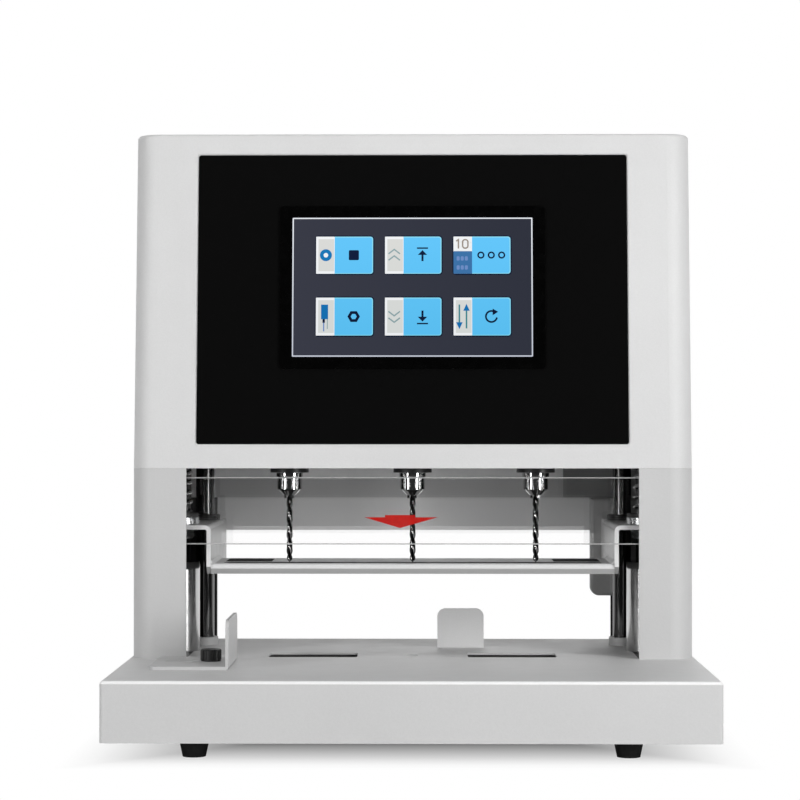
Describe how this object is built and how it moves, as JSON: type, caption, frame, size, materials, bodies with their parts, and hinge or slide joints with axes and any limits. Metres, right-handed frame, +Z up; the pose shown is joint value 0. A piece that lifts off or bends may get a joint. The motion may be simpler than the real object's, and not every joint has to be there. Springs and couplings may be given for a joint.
{
  "type": "electric paper drilling machine",
  "caption": "Desk-top electric paper drill: three keyed chucks with twist bits on a screw-driven carriage, a sprung clamp plate, touch panel, guard strip, side stop and rear fence.",
  "frame": {"origin": "centre of the bounding box at floor level, under the feet", "axes": "+X to the operator's right, +Y away from the operator, +Z up"},
  "size_m": [0.47, 0.35, 0.498],
  "materials": {
    "paint_light": "satin powder coat with fine orange peel",
    "paint_rear": "satin powder coat",
    "paint_black": "matt black coat",
    "bed_iron": "cast, machined top",
    "foot_rubber": "matt",
    "pad_rubber": "matt",
    "nylon_grey": "turned nylon",
    "panel_gloss": "high gloss",
    "bezel_black": "satin black",
    "screen": "screen glass",
    "rod_steel": "ground and polished",
    "tube_steel": "turned",
    "spring_steel": "drawn wire",
    "nut_steel": "zinc plated",
    "plastic_black": "moulded",
    "guide_black": "milled",
    "terminal_grey": "moulded",
    "inlet_black": "moulded",
    "rocker_black": "moulded",
    "acrylic": "clear sheet",
    "chuck_steel": "ground",
    "bit_steel": "dark high-speed steel",
    "machined": "milled",
    "housing_black": "black anodised",
    "motor_steel": "dark plated",
    "bronze": "turned",
    "laser_brass": "turned",
    "cage_steel": "galvanised sheet",
    "board_green": "lacquered",
    "screw_steel": "zinc plated"
  },
  "bodies": {
    "frame": {"base_cover": "paint_light", "base_pan": "paint_black", "feet": "foot_rubber", "bed_casting": "bed_iron", "cutting_strips": "guide_black", "column_right": "paint_light", "column_left": "paint_light", "head_cover": "paint_light", "rear_cover": "paint_rear", "posts": "paint_black", "top_plate": "machined", "inner_baffle": "paint_black", "front_panel": "panel_gloss", "screen_bezel": "bezel_black", "screen_glass": "screen", "guide_rods": "rod_steel", "rod_collars": "nylon_grey", "lift_tubes": "tube_steel", "shield": "acrylic", "terminal_cover": "terminal_grey", "power_inlet": "inlet_black", "power_supply": "cage_steel", "control_board": "board_green", "cover_screws": "screw_steel", "lift_mount": "machined", "lift_motor": "motor_steel", "screw_bearing": "tube_steel"},
    "carriage": {"carriage_plate": "machined", "carriage_bushes": "bronze", "lift_bridge": "machined", "lift_nut": "bronze", "lift_rods": "rod_steel", "centre_housing": "housing_black", "centre_motor": "motor_steel"},
    "clamp": {"clamp_plate": "paint_light", "clamp_bracket_left": "paint_light", "clamp_bracket_right": "paint_light", "drill_guide": "guide_black", "clamp_pads": "pad_rubber", "clamp_rods": "rod_steel", "clamp_nuts": "nut_steel", "clamp_springs": "spring_steel", "clamp_bushes": "plastic_black"},
    "unit_left": {"left_housing": "housing_black", "left_motor": "motor_steel", "left_laser": "laser_brass"},
    "unit_right": {"right_housing": "housing_black", "right_motor": "motor_steel", "right_laser": "laser_brass"},
    "spindle_left": {"left_chuck": "chuck_steel", "left_bit": "bit_steel"},
    "spindle_centre": {"centre_chuck": "chuck_steel", "centre_bit": "bit_steel"},
    "spindle_right": {"right_chuck": "chuck_steel", "right_bit": "bit_steel"},
    "screw": {"lift_screw": "tube_steel"},
    "stop": {"side_stop": "paint_light"},
    "knob": {"side_stop_knob": "plastic_black"},
    "fence": {"rear_fence": "paint_light"},
    "rocker": {"switch_rocker": "rocker_black"}
  },
  "joints": [
    {"name": "carriage_lift", "type": "slide", "parent": "frame", "child": "carriage", "axis": [0, 0, 1], "range_m": [-0.0804, 0], "deforming": ["clamp_springs"]},
    {"name": "clamp_lift", "type": "slide", "parent": "frame", "child": "clamp", "axis": [0, 0, 1], "range_m": [-0.0689, 0]},
    {"name": "lift_screw_turn", "type": "hinge", "parent": "frame", "child": "screw", "pos_m": [0, 0.096, 0.3], "axis": [0, 0, 1], "range_deg": [0, 2896]},
    {"name": "left_pitch", "type": "slide", "parent": "carriage", "child": "unit_left", "axis": [1, 0, 0], "range_m": [-0.014, 0.053]},
    {"name": "right_pitch", "type": "slide", "parent": "carriage", "child": "unit_right", "axis": [1, 0, 0], "range_m": [-0.053, 0.014]},
    {"name": "left_spin", "type": "hinge", "parent": "unit_left", "child": "spindle_left", "pos_m": [-0.103, 0.022, 0.2], "axis": [0, 0, -1], "continuous": true},
    {"name": "centre_spin", "type": "hinge", "parent": "carriage", "child": "spindle_centre", "pos_m": [0, 0.022, 0.2], "axis": [0, 0, -1], "continuous": true},
    {"name": "right_spin", "type": "hinge", "parent": "unit_right", "child": "spindle_right", "pos_m": [0.103, 0.022, 0.2], "axis": [0, 0, -1], "continuous": true},
    {"name": "side_stop_slide", "type": "slide", "parent": "frame", "child": "stop", "axis": [1, 0, 0], "range_m": [-0.002, 0.034]},
    {"name": "side_knob_turn", "type": "hinge", "parent": "frame", "child": "knob", "pos_m": [-0.162, -0.052, 0.066], "axis": [0, 0, 1], "range_deg": [0, 360]},
    {"name": "fence_slide", "type": "slide", "parent": "frame", "child": "fence", "axis": [0, 1, 0], "range_m": [0, 0.02]},
    {"name": "switch_rock", "type": "hinge", "parent": "frame", "child": "rocker", "pos_m": [0.199, 0.1695, 0.156], "axis": [1, 0, 0], "range_deg": [-16, 0]}
  ],
  "couplings": [
    {"joint": "clamp_lift", "follows": "carriage_lift", "ratio": 0.8569},
    {"joint": "lift_screw_turn", "follows": "carriage_lift", "rad_per_m": -628.32}
  ]
}
